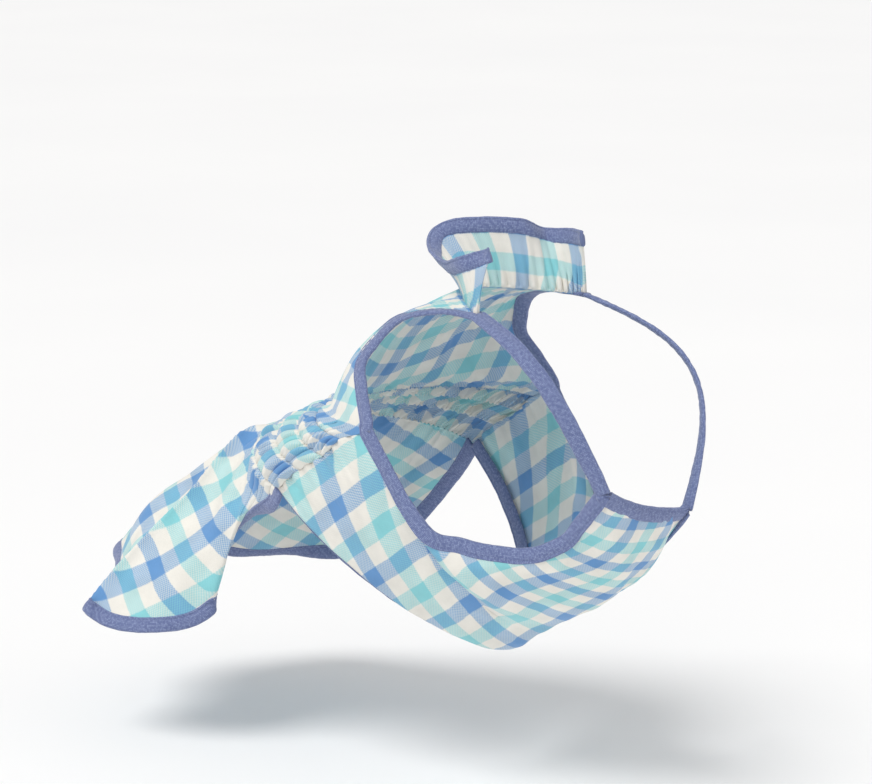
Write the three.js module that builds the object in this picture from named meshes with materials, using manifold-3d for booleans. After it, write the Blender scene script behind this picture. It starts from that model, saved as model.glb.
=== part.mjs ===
// A small dog's summer dress in its worn form, held up as the wearer's shoulders hold it.
// The neck is toward -Y, the wearer's left side is +X and +Z is up. The origin is the point
// between the shoulder blades that carries the dress. Lengths are millimetres.

import * as THREE from 'three';
import Module from 'manifold-3d';

const wasm = await Module();
wasm.setup();

// Driving sizes

const chestHalf = 57; // half width across the ribs
const backReach = 200; // scale of the back's and skirt's places behind the shoulders
const backDrop = 170; // scale of their drop below the shoulders
const chestReach = 108; // from the shoulders forward to the top of the bib
const bellyDrop = 136; // from the shoulders down to the rear edge under the belly
const bibTilt = 7.5; // how far the bib's right corner sits above its middle
const strapBow = { // how each strap arches over the shoulder
  right: { out: 9, forward: 8, up: 13 },
  left: { out: 15, forward: 17, up: 12 },
};
const frillHeight = 25; // neck frill from gather to binding
const cloth = 1.2; // wall of the cotton cloth with its turned seam allowance
const bindingWidth = 6.4; // folded bias binding
const bindingThickness = 2.2;
const strapWidth = 7;
const clearance = 0.3; // between neighbouring pieces
const bindingGap = 0.33; // between a binding and the cloth cut back from it
const roomAbove = 1.5; // cloth this close above or below a binding is cut back from it
const puffHeight = 2.4; // how far the cloth stands up between two elastic rows
const puffCount = 16; // gathers across the back
const yokeGathers = 9; // soft folds that run down from the neck elastic
const foldHeight = 1.6; // their height beside the elastic

// Colours and materials

const plaidBlue = 0xa9d4e6;
const bindingBlue = 0x7080b8;

function fabric(colour) {
  return new THREE.MeshStandardMaterial({ color: colour, roughness: 0.9, metalness: 0 });
}

const group = new THREE.Group();

function addMesh(name, geometry, colour) {
  const mesh = new THREE.Mesh(geometry, fabric(colour));
  mesh.name = name;
  group.add(mesh);
}

// Curves and surfaces

// A smooth value through the rows of a table, at a row number that may lie between two rows.
function between(rows, at, column) {
  const last = rows.length - 1;
  const i = Math.min(Math.max(Math.floor(at), 0), last - 1);
  const f = at - i;
  const b = rows[i][column];
  const c = rows[i + 1][column];
  const a = i > 0 ? rows[i - 1][column] : 2 * b - c;
  const d = i < last - 1 ? rows[i + 2][column] : 2 * c - b;
  const f2 = f * f;
  const f3 = f2 * f;
  return 0.5 * (2 * b + (c - a) * f + (2 * a - 5 * b + 4 * c - d) * f2
    + (3 * b - a - 3 * c + d) * f3);
}

// A closed sheet of cloth around the middle surface that place(along, across) gives.
function sheet(place, alongFrom, alongTo, alongSteps, acrossFrom, acrossTo, acrossSteps, wall) {
  const positions = [];
  const indices = [];
  const row = acrossSteps + 1;
  const layer = (alongSteps + 1) * row;
  for (const side of [0.5, -0.5]) {
    for (let i = 0; i <= alongSteps; i++) {
      for (let j = 0; j <= acrossSteps; j++) {
        const u = alongFrom + (alongTo - alongFrom) * i / alongSteps;
        const v = acrossFrom + (acrossTo - acrossFrom) * j / acrossSteps;
        positions.push(...place(u, v).addScaledVector(facing(place, u, v), side * wall).toArray());
      }
    }
  }
  const quad = (a, b, c, d) => indices.push(a, b, c, a, c, d);
  for (let i = 0; i < alongSteps; i++) {
    for (let j = 0; j < acrossSteps; j++) {
      const a = i * row + j;
      quad(a, a + 1, a + row + 1, a + row);
      quad(layer + a, layer + a + row, layer + a + row + 1, layer + a + 1);
    }
  }
  for (let i = 0; i < alongSteps; i++) {
    const a = i * row;
    const b = a + acrossSteps;
    quad(a, a + row, layer + a + row, layer + a);
    quad(b, layer + b, layer + b + row, b + row);
  }
  for (let j = 0; j < acrossSteps; j++) {
    const a = j;
    const b = alongSteps * row + j;
    quad(a, layer + a, layer + a + 1, a + 1);
    quad(b, b + 1, layer + b + 1, layer + b);
  }
  const geometry = new THREE.BufferGeometry();
  geometry.setAttribute('position', new THREE.Float32BufferAttribute(positions, 3));
  geometry.setIndex(indices);
  return geometry;
}

// The direction that a surface faces. Across runs to +X, so it points up on the back cloth.
function facing(place, section, across) {
  const small = 1e-3;
  const du = place(section + small, across).sub(place(section - small, across));
  const dv = place(section, across + small).sub(place(section, across - small));
  return dv.cross(du).normalize();
}

// A flat folded band along a path, square to the direction that face(t) gives
function band(path, face, steps, width, thickness) {
  const profile = [
    [-0.5, 0], [-0.32, 0.5], [0.32, 0.5], [0.5, 0], [0.32, -0.5], [-0.32, -0.5],
  ];
  const positions = [];
  const indices = [];
  const n = profile.length;
  const small = 1e-3;
  for (let i = 0; i <= steps; i++) {
    const t = i / steps;
    const run = path(Math.min(t + small, 1)).sub(path(Math.max(t - small, 0))).normalize();
    const across = new THREE.Vector3().crossVectors(run, face(t)).normalize();
    const up = new THREE.Vector3().crossVectors(across, run);
    for (const [x, y] of profile) {
      const point = path(t).addScaledVector(across, x * width);
      positions.push(...point.addScaledVector(up, y * thickness).toArray());
    }
  }
  for (let i = 0; i < steps; i++) {
    for (let j = 0; j < n; j++) {
      const a = i * n + j;
      const b = i * n + (j + 1) % n;
      indices.push(a, b + n, a + n, a, b, b + n);
    }
  }
  const end = steps * n;
  for (let j = 1; j < n - 1; j++) {
    indices.push(0, j + 1, j);
    indices.push(end, end + j, end + j + 1);
  }
  const geometry = new THREE.BufferGeometry();
  geometry.setAttribute('position', new THREE.Float32BufferAttribute(positions, 3));
  geometry.setIndex(indices);
  return geometry;
}

function solidOf(geometry) {
  const vertProperties = new Float32Array(geometry.attributes.position.array);
  const triVerts = new Uint32Array(geometry.index.array);
  return new wasm.Manifold(new wasm.Mesh({ numProp: 3, vertProperties, triVerts }));
}

// What is left of a piece when other pieces are cut out of it: its largest body
function without(geometry, tools) {
  let solid = solidOf(geometry);
  for (const tool of tools) {
    solid = solid.subtract(solidOf(tool));
  }
  const bodies = solid.decompose().sort((a, b) => b.volume() - a.volume());
  const mesh = bodies[0].getMesh();
  const result = new THREE.BufferGeometry();
  result.setAttribute('position', new THREE.Float32BufferAttribute(mesh.vertProperties, 3));
  result.setIndex(Array.from(mesh.triVerts));
  return result;
}

// A binding or strap, with the room that its neighbours leave for it
function strip(path, face, steps, width) {
  const room = bindingThickness + 2 * roomAbove;
  return {
    piece: band(path, face, steps, width, bindingThickness),
    room: band(path, face, steps, width + 2 * bindingGap, room),
  };
}

// Back cloth from the neck elastic to the last elastic row of the waist

// Sections across the back. The middle and the side edge are shares of backReach (reach) and
// backDrop (height), half is a share of chestHalf, and round is 1 for a full arch.
const backSections = [
  { midReach: -0.075, midHeight: 0.065, half: 0.56, edgeReach: -0.24, edgeHeight: 0.047, round: 0.1 },
  { midReach: -0.02, midHeight: 0.03, half: 0.6, edgeReach: -0.145, edgeHeight: 0.045, round: 0.5 },
  { midReach: 0.04, midHeight: -0.018, half: 0.665, edgeReach: -0.055, edgeHeight: 0.015, round: 0.8 },
  { midReach: 0.1, midHeight: -0.08, half: 0.765, edgeReach: -0.008, edgeHeight: -0.05, round: 1 },
  { midReach: 0.145, midHeight: -0.148, half: 0.835, edgeReach: 0.005, edgeHeight: -0.1, round: 1 },
  { midReach: 0.178, midHeight: -0.195, half: 0.91, edgeReach: -0.022, edgeHeight: -0.159, round: 1 },
  { midReach: 0.203, midHeight: -0.225, half: 0.98, edgeReach: -0.05, edgeHeight: -0.232, round: 1 },
  { midReach: 0.225, midHeight: -0.245, half: 1, edgeReach: 0.015, edgeHeight: -0.265, round: 1 },
  { midReach: 0.27, midHeight: -0.27, half: 1.01, edgeReach: 0.06, edgeHeight: -0.312, round: 1 },
  { midReach: 0.335, midHeight: -0.3, half: 1.01, edgeReach: 0.128, edgeHeight: -0.359, round: 1 },
  { midReach: 0.4, midHeight: -0.34, half: 1.01, edgeReach: 0.192, edgeHeight: -0.418, round: 1 },
];
const napeSoft = 0.3; // rounds the middle of a section that is nearly straight
const armholeCorner = 6; // the section where the armhole meets the side seam
const firstElastic = 7; // the section of the first waist elastic
const lastElastic = backSections.length - 1;

function backCloth(section, across) {
  const value = (column) => between(backSections, section, column);
  const angle = across * Math.PI / 2;
  const arch = 1 - Math.cos(angle);
  const slope = (width) => Math.hypot(width, napeSoft) - napeSoft;
  const straight = slope(Math.sin(angle)) / slope(1);
  const share = straight + (arch - straight) * value('round');
  const reach = value('midReach') + (value('edgeReach') - value('midReach')) * share;
  const height = value('midHeight') + (value('edgeHeight') - value('midHeight')) * share;
  return new THREE.Vector3(
    Math.sin(angle) * value('half') * chestHalf, reach * backReach, height * backDrop);
}

// How far across the cloth reaches when its side edge stops short by a length
function trimmed(place, section, length) {
  const step = 0.01;
  let at = 1;
  let left = length;
  let run = place(section, at).distanceTo(place(section, at - step));
  while (left > run) {
    left -= run;
    at -= step;
    run = place(section, at).distanceTo(place(section, at - step));
  }
  return at - step * left / run;
}

// Soft folds of the yoke, pressed flat along the neck elastic and the first waist elastic
function yokeFold(section, across) {
  const run = THREE.MathUtils.clamp(section / firstElastic, 0, 1);
  const depth = foldHeight * Math.sqrt(Math.sin(run * Math.PI));
  return depth * Math.cos(across * Math.PI * yokeGathers) * (1 - across ** 6);
}

// Puffs between the elastic rows, which press the cloth flat along each row
function waistPuff(section, across) {
  const row = section - firstElastic;
  const swell = Math.abs(Math.sin(row * Math.PI)) ** 0.7;
  const shift = Math.floor(row) * 0.5;
  const wave = Math.cos((across * puffCount / 2 + shift) * 2 * Math.PI);
  return puffHeight * swell * (0.5 + 0.5 * wave) * (1 - across ** 8);
}

function lifted(place, lift) {
  return (section, across) => place(section, across)
    .addScaledVector(facing(place, section, across), lift(section, across));
}

const rowGap = 0.1; // clearance between two cloth pieces, as a share of a section's spacing

const yoke = sheet(lifted(backCloth, yokeFold), 0, firstElastic - rowGap, 8, -1, 1, 36, cloth);
const waist = sheet(lifted(backCloth, waistPuff),
  firstElastic, lastElastic - rowGap, 6, -1, 1, puffCount * 4, cloth);

// Skirt

// Sections down the skirt after the waist, from its right edge over a fold, a hanging corner and the
// middle to its left edge: x, y and z as shares of chestHalf, backReach and backDrop. The skirt
// swings to the right, as on a wearer that sits turned, and its right edge is turned under the fold.
const skirtSections = [
  { rightEdge: [-0.97, 0.23, -0.47], rightFlap: [-0.87, 0.33, -0.46], right: [-0.45, 0.44, -0.38],
    middle: [-0.16, 0.47, -0.37],
    left: [0.14, 0.48, -0.39], leftFlap: [0.82, 0.36, -0.46], leftEdge: [1.04, 0.23, -0.475] },
  { rightEdge: [-0.84, 0.35, -0.54], rightFlap: [-0.95, 0.34, -0.52], right: [-0.69, 0.48, -0.46],
    middle: [-0.4, 0.53, -0.425],
    left: [-0.06, 0.57, -0.445], leftFlap: [0.78, 0.44, -0.57], leftEdge: [1.06, 0.28, -0.54] },
  { rightEdge: [-0.89, 0.4, -0.62], rightFlap: [-1, 0.35, -0.59], right: [-0.92, 0.52, -0.55],
    middle: [-0.62, 0.58, -0.5],
    left: [-0.25, 0.65, -0.52], leftFlap: [0.72, 0.52, -0.65], leftEdge: [1.05, 0.33, -0.605] },
  { rightEdge: [-0.91, 0.42, -0.7], rightFlap: [-1.05, 0.365, -0.66], right: [-1.23, 0.57, -0.68],
    middle: [-0.89, 0.64, -0.6],
    left: [-0.45, 0.735, -0.61], leftFlap: [0.65, 0.6, -0.73], leftEdge: [1.01, 0.375, -0.67] },
  { rightEdge: [-0.94, 0.42, -0.77], rightFlap: [-1.17, 0.4, -0.8], right: [-1.53, 0.62, -0.795],
    middle: [-1.07, 0.67, -0.75],
    left: [-0.65, 0.805, -0.715], leftFlap: [0.55, 0.69, -0.8], leftEdge: [0.97, 0.42, -0.74] },
];
const hem = skirtSections.length;
const skirtStops = [-1, -0.65, -0.25, 0, 0.25, 0.65, 1]; // where those seven places lie across

function skirtSection(index, across) {
  if (index === 0) {
    return backCloth(lastElastic, across);
  }
  const places = Object.values(skirtSections[index - 1]);
  const end = places.length - 1;
  const at = THREE.MathUtils.clamp(across, -1, 1);
  let i = 0;
  while (i < end - 1 && at > skirtStops[i + 1]) {
    i += 1;
  }
  const span = skirtStops[i + 1] - skirtStops[i];
  const f = (at - skirtStops[i]) / span;
  const f2 = f * f;
  const f3 = f2 * f;
  const size = [chestHalf, backReach, backDrop];
  return new THREE.Vector3(...size.map((scale, axis) => {
    const slope = (k) => {
      const low = Math.max(k - 1, 0);
      const high = Math.min(k + 1, end);
      return (places[high][axis] - places[low][axis]) / (skirtStops[high] - skirtStops[low]);
    };
    return scale * (places[i][axis] * (1 - 3 * f2 + 2 * f3) + places[i + 1][axis] * (3 * f2 - 2 * f3)
      + slope(i) * (f - 2 * f2 + f3) * span + slope(i + 1) * (f3 - f2) * span);
  }));
}

function skirtCloth(section, across) {
  const rows = [];
  for (let k = 0; k <= hem; k++) {
    rows.push(skirtSection(k, across));
  }
  return new THREE.Vector3(
    between(rows, section, 'x'), between(rows, section, 'y'), between(rows, section, 'z'));
}

// Flutes that open from the waist to the hem, as shares across the skirt
const skirtFlutes = [
  { at: -0.62, spread: 0.09, height: 3.5 },
  { at: -0.42, spread: 0.07, height: 3 },
  { at: 0.4, spread: 0.08, height: 3.5 },
  { at: 0.68, spread: 0.09, height: 3 },
];

const gatherHeight = 1.2; // small gathers below the last elastic
const gatherEnd = 1.2; // the section where they have opened out

function skirtFold(section, across) {
  let lift = 0;
  for (const flute of skirtFlutes) {
    lift += flute.height * Math.exp(-(((across - flute.at) / flute.spread) ** 2));
  }
  const opening = Math.min(section / 2, 1);
  const fading = Math.min(section * 4, 1) * (1 - Math.min(section / gatherEnd, 1));
  const wave = 0.5 + 0.5 * Math.cos(across * puffCount * Math.PI);
  return lift * opening + gatherHeight * wave * fading * (1 - across ** 8);
}

const skirtBase = lifted(skirtCloth, skirtFold);

const hemLine = hem - 0.1; // the middle of the hem binding
const skirtTop = 0.03; // the section where the skirt starts, clear of the waist
const skirt = sheet(skirtBase, skirtTop, hemLine, 10, -1, 1, 28, cloth);

// Chest and belly cloth

// Sections from the top of the bib to the rear edge under the belly. The middle is a share of
// chestReach and bellyDrop. Until the armhole meets the side seam the edge has its own shares of
// chestHalf, chestReach and bellyDrop, and from there on it is the back cloth's side edge.
const bellySections = [
  { midReach: -1, midHeight: -0.49, half: 0.44, edgeReach: -1, edgeHeight: -0.455 },
  { midReach: -0.97, midHeight: -0.603, half: 0.42, edgeReach: -0.89, edgeHeight: -0.555 },
  { midReach: -0.89, midHeight: -0.713, half: 0.43, edgeReach: -0.8, edgeHeight: -0.625 },
  { midReach: -0.78, midHeight: -0.79, half: 0.52, edgeReach: -0.65, edgeHeight: -0.66 },
  { midReach: -0.66, midHeight: -0.845, half: 0.74, edgeReach: -0.455, edgeHeight: -0.625 },
  { midReach: -0.575, midHeight: -0.882, half: 0.91, edgeReach: -0.338, edgeHeight: -0.56 },
  { midReach: -0.5, midHeight: -0.923 },
  { midReach: -0.45, midHeight: -0.95 },
  { midReach: -0.415, midHeight: -0.97 },
  { midReach: -0.37, midHeight: -0.99 },
  { midReach: -0.333, midHeight: -1 },
];
const bellyEnd = bellySections.length - 1;
const sag = 0.78; // below 1 the cloth hangs in a sharper loop under the belly

const bellyArmhole = bellySections.slice(0, armholeCorner).map(({ half, edgeReach, edgeHeight }) => (
  { x: half * chestHalf, y: edgeReach * chestReach, z: edgeHeight * bellyDrop }));
bellyArmhole.push(backCloth(armholeCorner, 1));

function bellyEdge(section) {
  if (section >= armholeCorner) {
    return backCloth(section, 1).toArray();
  }
  return ['x', 'y', 'z'].map((axis) => between(bellyArmhole, section, axis));
}

function bellyCloth(section, across) {
  const angle = across * Math.PI / 2;
  const rise = (1 - Math.cos(angle)) ** sag;
  const edge = bellyEdge(section);
  const midY = between(bellySections, section, 'midReach') * chestReach;
  const midZ = between(bellySections, section, 'midHeight') * bellyDrop;
  const x = Math.sin(angle) * edge[0];
  const tilt = -bibTilt * Math.sin(angle) * (1 - THREE.MathUtils.smoothstep(section, 1, armholeCorner));
  return new THREE.Vector3(x, midY + (edge[1] - midY) * rise, midZ + (edge[2] - midZ) * rise + tilt);
}

function belly(section, across) {
  const seam = section > armholeCorner ? clearance + cloth / 2 : 0;
  return bellyCloth(section, -across * trimmed(bellyCloth, section, seam));
}

const bellyPanel = sheet(belly, 0, bellyEnd, 13, -1, 1, 20, cloth);

// Straps

const hands = { right: -1, left: 1 };

function outward(section, across) {
  return facing(bellyCloth, section, across).negate();
}

const edgeFace = 0.97; // how far across the cloth its direction is taken for the edge

function strapArch(side) {
  const { out, forward, up } = strapBow[side];
  return new THREE.Vector3(hands[side] * out, -forward, up);
}

function strapPath(side, t) {
  const top = backCloth(0, hands[side]);
  const foot = bellyCloth(0, hands[side]);
  return top.lerp(foot, t).addScaledVector(strapArch(side), Math.sin(t * Math.PI));
}

function strapFace(side, t) {
  const top = facing(backCloth, 0, hands[side] * edgeFace);
  const foot = outward(0, hands[side] * edgeFace);
  const over = strapArch(side).normalize();
  return top.lerp(foot, t).addScaledVector(over, Math.sin(t * Math.PI)).normalize();
}

// Armhole bindings, along the yoke's edge to the side seam and back along the belly cloth

function armholePath(hand, t) {
  const at = t * 2 * armholeCorner;
  return at <= armholeCorner ? backCloth(at, hand) : bellyCloth(2 * armholeCorner - at, hand);
}

function armholeFace(hand, t) {
  const at = t * 2 * armholeCorner;
  const blend = THREE.MathUtils.smoothstep(at, armholeCorner - 0.6, armholeCorner + 0.6);
  const back = facing(backCloth, Math.min(at, armholeCorner), hand * edgeFace);
  const front = outward(2 * armholeCorner - Math.max(at, armholeCorner), hand * edgeFace);
  return back.lerp(front, blend).normalize();
}

const straps = {};
const armholes = {};
for (const [side, hand] of Object.entries(hands)) {
  straps[side] = strip((t) => strapPath(side, t), (t) => strapFace(side, t), 16, strapWidth);
  armholes[side] = strip((t) => armholePath(hand, t), (t) => armholeFace(hand, t), 38, bindingWidth);
}

// Bindings of the bib's top edge and of the belly's rear edge

const bibBinding = strip(
  (t) => bellyCloth(0, 1 - 2 * t), (t) => outward(0, (1 - 2 * t) * edgeFace), 10, bindingWidth);

const bellyShare = 0.95; // how far across the rear edge its binding reaches
const bellyBinding = strip(
  (t) => bellyCloth(bellyEnd, (2 * t - 1) * bellyShare),
  (t) => outward(bellyEnd, (2 * t - 1) * bellyShare), 24, bindingWidth);

// Skirt binding, down one side edge, round the hem and up the other side edge

const sideStops = [0.35, 1, 2, 3, 4, 4.55]; // sections down a side edge
const hemStops = 40; // places along the hem
const skirtStations = sideStops.map((section) => [section, -1]);
for (let i = 1; i < hemStops; i++) {
  skirtStations.push([hemLine, -1 + 2 * i / hemStops]);
}
skirtStations.push(...sideStops.toReversed().map((section) => [section, 1]));
const skirtLine = new THREE.CatmullRomCurve3(skirtStations.map(([s, a]) => skirtBase(s, a)));
const skirtFaces = new THREE.CatmullRomCurve3(
  skirtStations.map(([s, a]) => facing(skirtBase, s, a * edgeFace)));
skirtLine.curveType = 'catmullrom';
skirtFaces.curveType = 'catmullrom';
const skirtBinding = strip(
  (t) => skirtLine.getPoint(t), (t) => skirtFaces.getPoint(t), 56, bindingWidth);

// Neck frill

// Where the frill's bound rim stands from the neck elastic, at places from the right end of the
// frill to its left end, as shares of frillHeight
const frillSections = [
  { back: -0.1, up: 0.95, inward: 0.2 },
  { back: 0.0, up: 0.85, inward: 0.15 },
  { back: 0.12, up: 0.7, inward: -0.1 },
  { back: 0.3, up: 0.52, inward: -0.1 },
  { back: 0.6, up: 0.58, inward: -0.05 },
  { back: 0.68, up: 0.84, inward: 0 },
  { back: 0.3, up: 1.0, inward: 0.1 },
  { back: 0.2, up: 1.0, inward: 0 },
  { back: 0.5, up: 0.85, inward: -0.25 },
  { back: 0.2, up: 0.9, inward: -0.1 },
  { back: -0.1, up: 0.95, inward: 0.2 },
];

const frillLean = 1.4; // above 1 the frill stands straight at its foot and leans higher up

function frillCloth(rise, across) {
  const at = (across + 1) / 2 * (frillSections.length - 1);
  const base = backCloth(0, across);
  const lean = Math.max(rise, 0) ** frillLean;
  base.x -= Math.sign(across) * between(frillSections, at, 'inward') * frillHeight * lean;
  base.y += between(frillSections, at, 'back') * frillHeight * lean;
  base.z += between(frillSections, at, 'up') * frillHeight * rise;
  return base;
}

const frillShare = 0.97; // how far across the neck the frill reaches
const frillFoot = 0.06; // the frill starts this share of its height above the neck elastic
const frill = sheet((rise, across) => frillCloth(1 - rise, across), 0, 1 - frillFoot, 4,
  -frillShare, frillShare, 30, cloth);
const frillBinding = strip(
  (t) => frillCloth(1, (2 * t - 1) * frillShare),
  (t) => facing(frillCloth, 1, (2 * t - 1) * frillShare), 36, bindingWidth);

// The pieces, each cut back from the bindings beside it

const strapRooms = [straps.right.room, straps.left.room];
const armholeRooms = [armholes.right.room, armholes.left.room];
const bindingRooms = [...strapRooms, ...armholeRooms];
addMesh('back_yoke', without(yoke, bindingRooms), plaidBlue);
addMesh('waist_shirring', without(waist, [skirtBinding.room, bellyBinding.room]), plaidBlue);
addMesh('skirt', without(skirt, [skirtBinding.room]), plaidBlue);
addMesh('belly_panel', without(bellyPanel,
  [...bindingRooms, bibBinding.room, bellyBinding.room, skirtBinding.room]), plaidBlue);
addMesh('neck_frill', without(frill, [frillBinding.room, ...bindingRooms]), plaidBlue);
for (const side of Object.keys(hands)) {
  addMesh(`shoulder_strap_${side}`, straps[side].piece, bindingBlue);
  addMesh(`armhole_binding_${side}`, without(armholes[side].piece, strapRooms), bindingBlue);
}
addMesh('bib_binding', without(bibBinding.piece, bindingRooms), bindingBlue);
addMesh('belly_binding', without(bellyBinding.piece, [skirtBinding.room]), bindingBlue);
addMesh('skirt_binding', skirtBinding.piece, bindingBlue);
addMesh('frill_binding', without(frillBinding.piece, bindingRooms), bindingBlue);

export default group;
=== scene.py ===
import math

import bpy
import numpy as np
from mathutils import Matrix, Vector


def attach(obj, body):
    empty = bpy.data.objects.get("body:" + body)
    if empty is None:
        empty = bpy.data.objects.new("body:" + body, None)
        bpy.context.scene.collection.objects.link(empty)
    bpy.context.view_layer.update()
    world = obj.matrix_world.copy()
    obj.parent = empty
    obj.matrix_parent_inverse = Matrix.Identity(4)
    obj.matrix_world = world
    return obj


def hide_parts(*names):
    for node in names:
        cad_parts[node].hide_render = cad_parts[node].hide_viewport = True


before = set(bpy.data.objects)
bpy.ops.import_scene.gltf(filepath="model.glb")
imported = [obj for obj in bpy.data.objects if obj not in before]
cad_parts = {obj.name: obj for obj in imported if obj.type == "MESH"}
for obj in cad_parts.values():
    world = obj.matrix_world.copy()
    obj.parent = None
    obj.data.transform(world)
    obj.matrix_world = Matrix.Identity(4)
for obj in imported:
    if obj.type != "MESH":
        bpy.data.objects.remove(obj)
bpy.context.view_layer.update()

# Camera, floor and light
# The dress is seen from its right and a little from behind its shoulder, as held in its worn
# form just above a plain pale floor, in soft light from above.

AIM = Vector((0, 0.005, -0.035))
TURN, RISE, AWAY = math.radians(-46), math.radians(12), 1.3
WIDTH_SEEN = 0.3575
FLOOR_HEIGHT = -0.188
toward = Vector((math.sin(TURN) * math.cos(RISE), -math.cos(TURN) * math.cos(RISE), math.sin(RISE)))
camera = bpy.data.objects.new("camera", bpy.data.cameras.new("camera"))
camera.location = AIM + toward * AWAY
camera.rotation_euler = toward.to_track_quat("Z", "Y").to_euler()
camera.data.sensor_width = 36
camera.data.lens = camera.data.sensor_width * AWAY / WIDTH_SEEN
camera.data.clip_start = 0.05
bpy.context.scene.collection.objects.link(camera)
bpy.context.scene.camera = camera

bpy.ops.object.select_all(action="DESELECT")
bpy.ops.mesh.primitive_circle_add(vertices=96, radius=6, fill_type="NGON", location=(0, 0, FLOOR_HEIGHT))
floor = bpy.context.object
floor.name = "floor"


def wire(tree, kind, inputs=(), **settings):
    """Adds a shader node, with its settings and inputs, and gives its first output."""
    made = tree.nodes.new("ShaderNode" + kind)
    for name, value in settings.items():
        setattr(made, name, value)
    for name, value in dict(inputs).items():
        if isinstance(value, bpy.types.NodeSocket):
            tree.links.new(value, made.inputs[name])
        else:
            made.inputs[name].default_value = value
    return made.outputs[0]


def colour(red, green, blue):
    """A screen colour from 0 to 255 as the shader's linear colour."""
    return [*(((c / 255 + 0.055) / 1.055) ** 2.4 for c in (red, green, blue)), 1]


def finish(name, roughness, sheen, specular):
    """A new material with its constants on the shader, ready for colour and bump."""
    material = bpy.data.materials.new(name)
    material.use_nodes = True
    tree = material.node_tree
    shader = tree.nodes["Principled BSDF"]
    shader.inputs["Roughness"].default_value = roughness
    shader.inputs["Sheen Weight"].default_value = sheen
    shader.inputs["Sheen Roughness"].default_value = 0.5
    shader.inputs["Specular IOR Level"].default_value = specular
    return material, tree, shader


floor_paint, tree, shader = finish("floor_paint", 0.9, 0, 0.2)
place = wire(tree, "TexCoord").node.outputs["Object"]
mottle = wire(tree, "TexNoise", {"Vector": place, "Scale": 3.0, "Detail": 3.0})
tint = wire(tree, "Mix", {0: mottle, 6: colour(247, 247, 248), 7: colour(252, 252, 252)},
            data_type="RGBA")
tree.links.new(tint.node.outputs[2], shader.inputs["Base Color"])
floor.data.materials.append(floor_paint)


def lamp(name, kind, spot, softness, power, tone):
    """A light that points at the dress, softened by its size or, if it is distant, by its spread."""
    light = bpy.data.objects.new(name, bpy.data.lights.new(name, kind))
    light.location = spot
    light.rotation_euler = (Vector(spot) - AIM).to_track_quat("Z", "Y").to_euler()
    if kind == "SUN":
        light.data.angle = softness
    else:
        light.data.size = softness
    light.data.energy = power
    light.data.color = tone
    bpy.context.scene.collection.objects.link(light)


lamp("key_light", "SUN", (-0.9, 0.2, 1.5), 0.5, 1.6, (1, 0.99, 0.97))
lamp("fill_light", "AREA", (-1.5, -0.6, 0.8), 1.4, 3, (0.98, 0.99, 1))
lamp("front_light", "AREA", (0.6, -1.6, 0.6), 1.4, 3.5, (0.99, 0.99, 1))
world = bpy.data.worlds.new("studio")
world.use_nodes = True
world.node_tree.nodes["Background"].inputs["Color"].default_value = (1, 1, 1, 1)
world.node_tree.nodes["Background"].inputs["Strength"].default_value = 0.56
bpy.context.scene.world = world
bpy.context.scene.view_settings.view_transform = "Standard"

# Yoke
# The upper back: one piece of thin yarn-dyed plaid cotton, drawn in by the neck elastic at its top
# and by the first waist elastic at its bottom. Its sides are the rear halves of the armholes.

CHEST_HALF, BACK_REACH, BACK_DROP = 0.057, 0.2, 0.17
BACK_ROWS = np.array([  # mid reach, mid height, half width, edge reach, edge height, roundness
    [-0.075, 0.065, 0.56, -0.24, 0.047, 0.1],
    [-0.02, 0.03, 0.6, -0.145, 0.045, 0.5],
    [0.04, -0.018, 0.665, -0.055, 0.015, 0.8],
    [0.1, -0.08, 0.765, -0.008, -0.05, 1],
    [0.145, -0.148, 0.835, 0.005, -0.1, 1],
    [0.178, -0.195, 0.91, -0.022, -0.159, 1],
    [0.203, -0.225, 0.98, -0.05, -0.232, 1],
    [0.225, -0.245, 1, 0.015, -0.265, 1],
    [0.27, -0.27, 1.01, 0.06, -0.312, 1],
    [0.335, -0.3, 1.01, 0.128, -0.359, 1],
    [0.4, -0.34, 1.01, 0.192, -0.418, 1],
])
NAPE_SOFT = 0.3
ARMHOLE_CORNER, FIRST_ELASTIC, LAST_ELASTIC = 6, 7, 10
CLOTH = 0.0007


def with_ends(rows):
    """The rows of a table with one more at each end, in line with the two before it."""
    return np.concatenate([[2 * rows[0] - rows[1]], rows, [2 * rows[-1] - rows[-2]]])


def curve(a, b, c, d, f):
    """The smooth value at share f of the way from b to c, where a comes before and d after."""
    return 0.5 * (2 * b + (c - a) * f + (2 * a - 5 * b + 4 * c - d) * f ** 2
                  + (3 * b - a - 3 * c + d) * f ** 3)


def between(rows, at):
    """Smooth values through the rows of a table, at row numbers that may lie between two rows."""
    rows = np.asarray(rows, float)
    at = np.asarray(at, float)
    i = np.clip(np.floor(at).astype(int), 0, len(rows) - 2)
    f = (at - i).reshape(at.shape + (1,) * (rows.ndim - 1))
    more = with_ends(rows)
    return curve(more[i], more[i + 1], more[i + 2], more[i + 3], f)


def eased(share):
    """A share from 0 to 1 that starts and ends softly."""
    return share * share * (3 - 2 * share)


def unit(v):
    """The same direction with a length of 1."""
    return v / np.maximum(np.linalg.norm(v, axis=-1, keepdims=True), 1e-12)


def facing(surface, down, across):
    """The direction that a surface faces, outwards on the back cloth."""
    small = 1e-3
    along = surface(down + small, across) - surface(down - small, across)
    beside = surface(down, across + small) - surface(down, across - small)
    return unit(np.cross(beside, along))


def lifted(surface, lift):
    """The surface with folds: lift says how far each point stands out of it."""
    return lambda down, across: (surface(down, across)
                                 + facing(surface, down, across) * lift(down, across)[..., None])


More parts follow.
